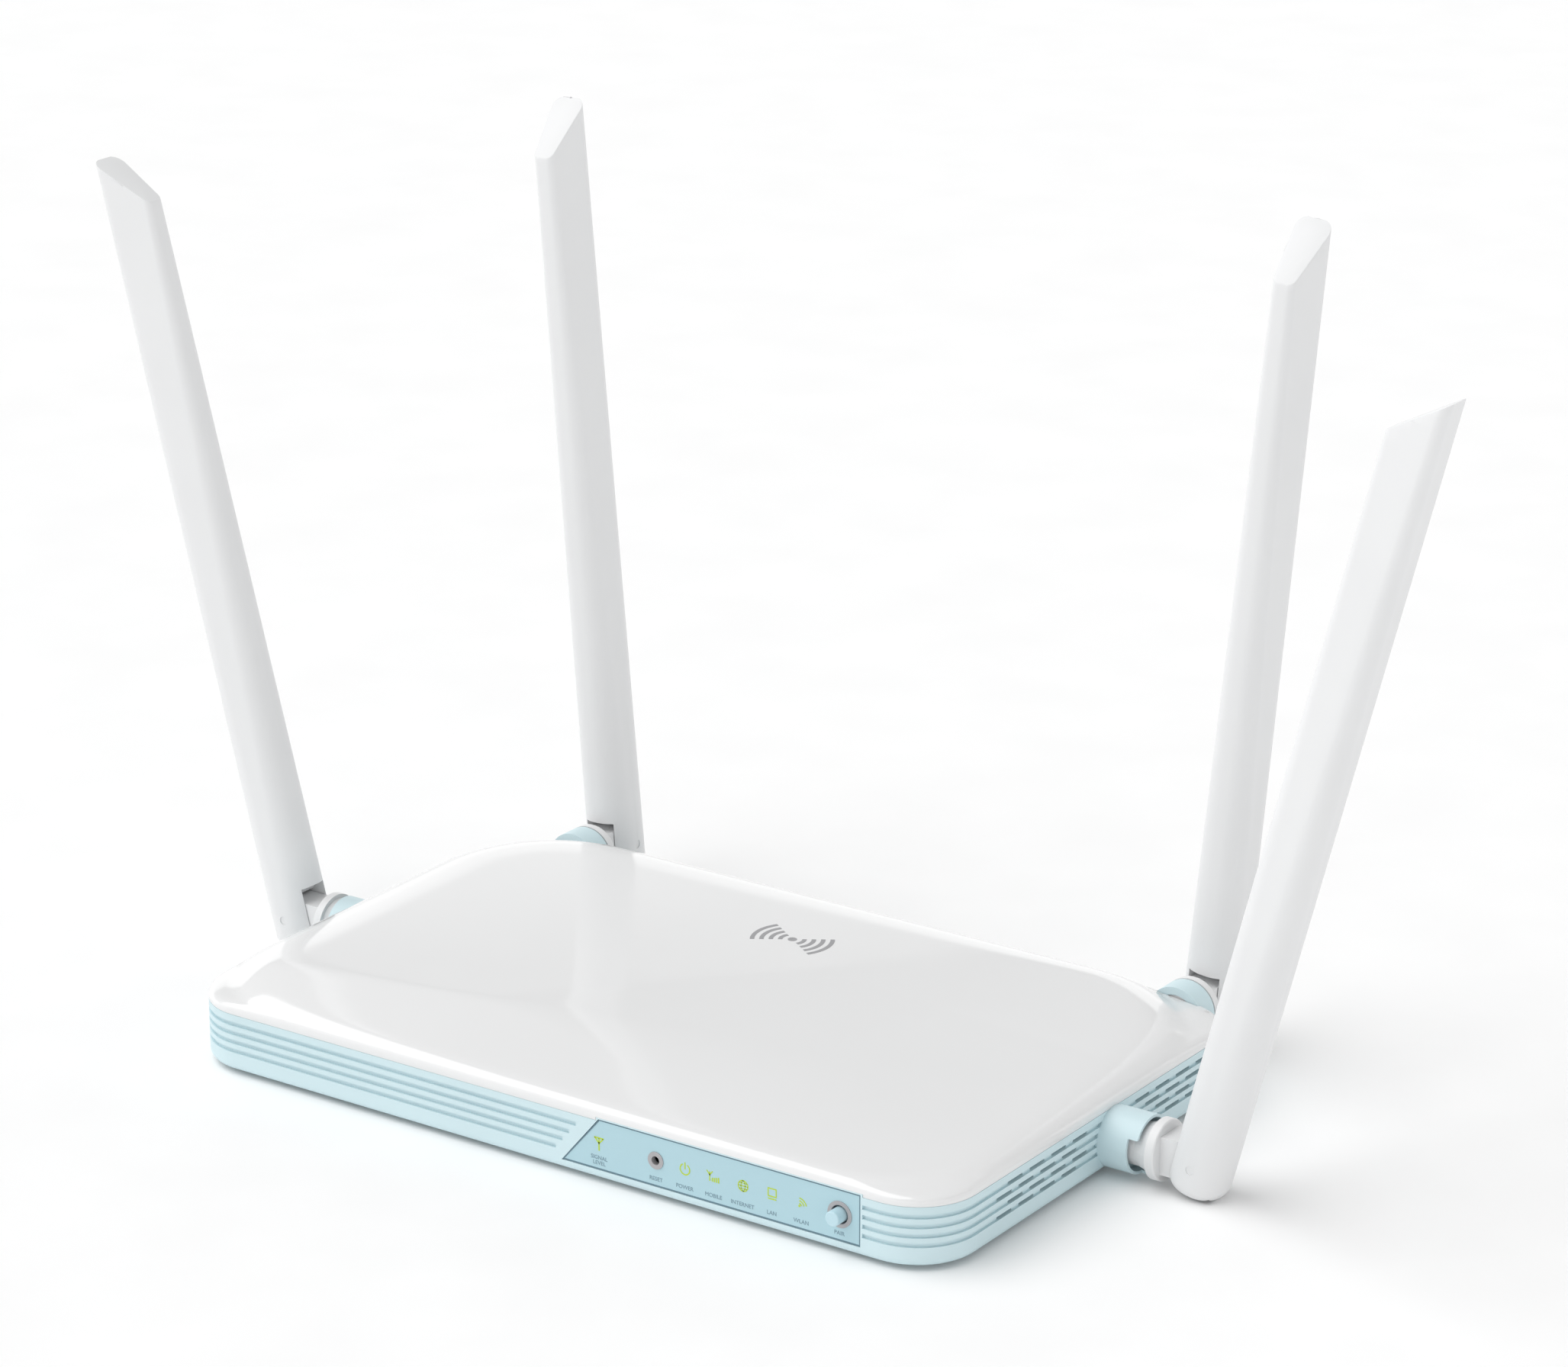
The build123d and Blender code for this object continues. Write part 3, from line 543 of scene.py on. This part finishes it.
def ribbon(points, width, place, closed=False):
    """A raised printed line of even width along points; place(x, y, lift) puts it on a surface."""
    line = [Vector(p) for p in points]
    count = len(line)
    sides = []
    for i, point in enumerate(line):
        before = line[i - 1] if i or closed else point
        after = line[(i + 1) % count] if i < count - 1 or closed else point
        first = (point - before).normalized() if (point - before).length else None
        second = (after - point).normalized() if (after - point).length else None
        first = first or second
        second = second or first
        mean = (first + second).normalized()
        across = Vector((-mean.y, mean.x)) * (width / 2 / max(0.35, mean.dot(second)))
        sides.append((point + across, point - across))
    vertices = []
    for left, right in sides:
        vertices += [place(*left, MARK_LIFT), place(*right, MARK_LIFT)]
        vertices += [place(*right, -MARK_DEPTH), place(*left, -MARK_DEPTH)]
    faces = []
    for i in range(count if closed else count - 1):
        a = 4 * i
        b = 4 * ((i + 1) % count)
        for k in range(4):
            faces.append((a + k, a + (k + 1) % 4, b + (k + 1) % 4, b + k))
    if not closed:
        faces += [(0, 1, 2, 3), (4 * count - 1, 4 * count - 2, 4 * count - 3, 4 * count - 4)]
    return vertices, faces


def join_marks(name, marks, material):
    """Several ribbons or dots as one piece."""
    vertices = []
    faces = []
    for points, quads in marks:
        base = len(vertices)
        vertices += points
        faces += [tuple(base + i for i in quad) for quad in quads]
    return new_piece(name, vertices, faces, material, "case", 30)


def arc(cx, cy, radius, start, end, steps=14):
    """Points on an arc, angles in degrees anticlockwise from +x."""
    turns = np.radians(np.linspace(start, end, steps))
    return [(cx + radius * cos(t), cy + radius * sin(t)) for t in turns]


def on_panel(x, y, lift):
    return Vector((x, panel_low.y - lift, y)) * MM


def lime(points, width=0.3, closed=False):
    return ribbon(points, width, on_panel, closed)


def make_icons():
    """The symbols in a row across the panel, each about its own centre."""
    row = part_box("reset_ring")
    mid = (row[0].z + row[1].z) / 2 / MM
    signal = 14.15
    marks = [
        lime([(signal, mid - 1.5), (signal, mid + 1.2)], 0.34),
        lime([(signal - 1.05, mid + 1.2), (signal, mid + 0.1), (signal + 1.05, mid + 1.2)], 0.3),
        lime([(signal - 1.2, mid + 1.25), (signal + 1.2, mid + 1.25)], 0.3),
    ]
    power = 35.3
    marks += [
        lime(arc(power, mid - 0.1, 1.15, 118, 422, 26), 0.28),
        lime([(power, mid - 0.1), (power, mid + 1.4)], 0.28),
    ]
    mobile = 41.6
    marks += [
        lime([(mobile - 0.3, mid - 1.0), (mobile - 0.3, mid + 1.0)], 0.26),
        lime([(mobile - 1.0, mid + 1.2), (mobile - 0.3, mid + 0.3), (mobile + 0.4, mid + 1.2)], 0.24),
    ]
    for step in range(4):
        x = mobile + 0.35 + 0.5 * step
        marks.append(lime([(x, mid - 1.0), (x, mid - 0.2 + 0.12 * step)], 0.32))
    globe = 49.35
    meridian = [(globe + 0.5 * cos(t), mid + 1.1 * sin(t)) for t in np.linspace(0, 2 * pi, 21)[:-1]]
    marks += [
        lime(arc(globe, mid, 1.15, 0, 345, 24), 0.24, closed=True),
        lime([(globe - 1.1, mid), (globe + 1.1, mid)], 0.2),
        lime([(globe - 0.95, mid + 0.6), (globe + 0.95, mid + 0.6)], 0.16),
        lime([(globe - 0.95, mid - 0.6), (globe + 0.95, mid - 0.6)], 0.16),
        lime(meridian, 0.18, closed=True),
    ]
    screen = 56.3
    marks += [
        lime(box_outline(screen - 0.95, screen + 0.95, mid - 0.45, mid + 1.2), 0.26, closed=True),
        lime([(screen - 1.0, mid - 1.0), (screen + 1.0, mid - 1.0)], 0.26),
    ]
    wireless = 62.7
    for radius in (0.55, 1.15, 1.75):
        marks.append(lime(arc(wireless, mid - 0.8, radius, 12, 88, 10), 0.26))
    marks.append(lime(arc(wireless + 0.05, mid - 0.75, 0.14, 0, 330, 10), 0.2, closed=True))
    join_marks("panel_icons", marks, LIME)


def make_panel_outline():
    """The fine dark line just inside the panel's edge."""
    inset = 0.14
    corners = [
        (panel_low.x + 1.6 * inset, panel_low.z + inset),
        (panel_high.x - inset, panel_low.z + inset),
        (panel_high.x - inset, panel_high.z - inset),
        (panel_low.x + PANEL_SLANT + 0.6 * inset, panel_high.z - inset),
    ]
    mark = ribbon(corners, 0.26, on_panel, closed=True)
    join_marks("panel_outline", [mark], OUTLINE_INK)


def make_label(name, words, x, z):
    """A word printed under a symbol, as a mesh."""
    text = bpy.data.curves.new(name, "FONT")
    text.body = words
    text.size = LABEL_SIZE * MM
    text.align_x = "CENTER"
    text.extrude = MARK_DEPTH * MM
    holder = bpy.data.objects.new(name, text)
    bpy.context.scene.collection.objects.link(holder)
    bpy.context.view_layer.update()
    mesh = bpy.data.meshes.new_from_object(holder.evaluated_get(bpy.context.evaluated_depsgraph_get()))
    bpy.data.objects.remove(holder)
    mesh.transform(Matrix.Translation(on_panel(x, z, MARK_DEPTH)) @ Matrix.Rotation(pi / 2, 4, "X"))
    mesh.materials.clear()
    mesh.materials.append(LABEL_INK)
    label = bpy.data.objects.new(name, mesh)
    bpy.context.scene.collection.objects.link(label)
    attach(label, "case")


LABEL_SIZE = 1.22
# Each printed word's middle and baseline on the panel
LABELS = {
    "SIGNAL": (14.15, 4.25),
    "LEVEL": (14.15, 3.1),
    "RESET": (28.2, 3.3),
    "POWER": (35.2, 3.3),
    "MOBILE": (42.2, 3.3),
    "INTERNET": (49.2, 3.3),
    "LAN": (56.2, 3.3),
    "WLAN": (63.2, 3.3),
    "PAIR": (72.2, 3.3),
}
make_icons()
make_panel_outline()
for words, (x, z) in LABELS.items():
    make_label("label_" + words.lower(), words, x, z)


def on_crown(x, y, lift):
    height = float(cover_height(np.array([x]), np.array([y]))[0])
    return Vector((x, y, height + lift)) * MM


def make_emblem():
    """A plain wireless mark on the crown: a dot between arcs."""
    cx, cy = 2.2, 26.4
    marks = []
    for radius in (2.6, 4.6, 6.6, 8.6):
        for middle in (0, 180):
            marks.append(ribbon(arc(cx, cy, radius, middle - 34, middle + 34, 16), 0.95, on_crown))
    marks.append(ribbon(arc(cx, cy, 0.55, 0, 330, 12), 0.9, on_crown, closed=True))
    join_marks("crown_emblem", marks, EMBLEM_GREY)


make_emblem()


# ---------------------------------------------------------------- floor, light and camera

FLOOR = moulded("floor_white", (0.96, 0.96, 0.96), 0.9, grain=40.0, depth=0.0)
FLOOR_HALF = 6.0


def make_floor():
    """A plain pale floor under the feet."""
    level = cad_bounds[0][2]
    corners = [(x, y, level) for x, y in box_outline(-FLOOR_HALF, FLOOR_HALF, -FLOOR_HALF, FLOOR_HALF)]
    floor = new_piece("floor", corners, [(0, 1, 2, 3)], FLOOR, None)


make_floor()

# The room is brighter low down than overhead, so the cover's facets mirror different tones.
# The change lies between these heights, as sines of the elevation, and is fixed to the room.
SKY_LOW, SKY_HIGH = 1.3, 0.46
CHANGE_START, CHANGE_END = 0.352, 0.392

world = bpy.data.worlds.new("studio")
world.use_nodes = True
world_nodes = world.node_tree.nodes
world_links = world.node_tree.links
backdrop = world_nodes["Background"]
backdrop.inputs["Color"].default_value = (1.0, 1.0, 1.0, 1)
direction = world_nodes.new("ShaderNodeTexCoord")
height = world_nodes.new("ShaderNodeSeparateXYZ")
band = world_nodes.new("ShaderNodeMapRange")
band.interpolation_type = "SMOOTHSTEP"
band.inputs["From Min"].default_value = CHANGE_START
band.inputs["From Max"].default_value = CHANGE_END
band.inputs["To Min"].default_value = SKY_LOW
band.inputs["To Max"].default_value = SKY_HIGH
world_links.new(direction.outputs["Generated"], height.inputs["Vector"])
world_links.new(height.outputs["Z"], band.inputs["Value"])
world_links.new(band.outputs["Result"], backdrop.inputs["Strength"])
bpy.context.scene.world = world


def soft_sun(name, towards_light, strength, spread):
    """Even light from one side, with soft shadows, as from a large overhead softbox."""
    light = bpy.data.lights.new(name, "SUN")
    light.energy = strength
    light.angle = radians(spread)
    lamp = bpy.data.objects.new(name, light)
    lamp.rotation_euler = (-Vector(towards_light)).to_track_quat("-Z", "Y").to_euler()
    bpy.context.scene.collection.objects.link(lamp)


soft_sun("key", (-0.45, -0.28, 0.85), 1.72, 60)

VIEW_AZIMUTH = radians(34.74)
VIEW_ELEVATION = radians(19.3)
VIEW_DISTANCE = 1.06955
VIEW_TARGET = Vector((0.01834, 0.0, 0.08905))
VIEW_LENS = 121.03
camera_data = bpy.data.cameras.new("camera")
camera_data.sensor_width = 36.0
camera_data.lens = VIEW_LENS
camera_data.clip_start = 0.01
camera = bpy.data.objects.new("camera", camera_data)
towards = Vector(
    (
        sin(VIEW_AZIMUTH) * cos(VIEW_ELEVATION),
        -cos(VIEW_AZIMUTH) * cos(VIEW_ELEVATION),
        sin(VIEW_ELEVATION),
    )
)
camera.location = VIEW_TARGET + towards * VIEW_DISTANCE
camera.rotation_euler = (-towards).to_track_quat("-Z", "Y").to_euler()
bpy.context.scene.collection.objects.link(camera)
bpy.context.scene.camera = camera
bpy.context.scene.view_settings.view_transform = "Standard"
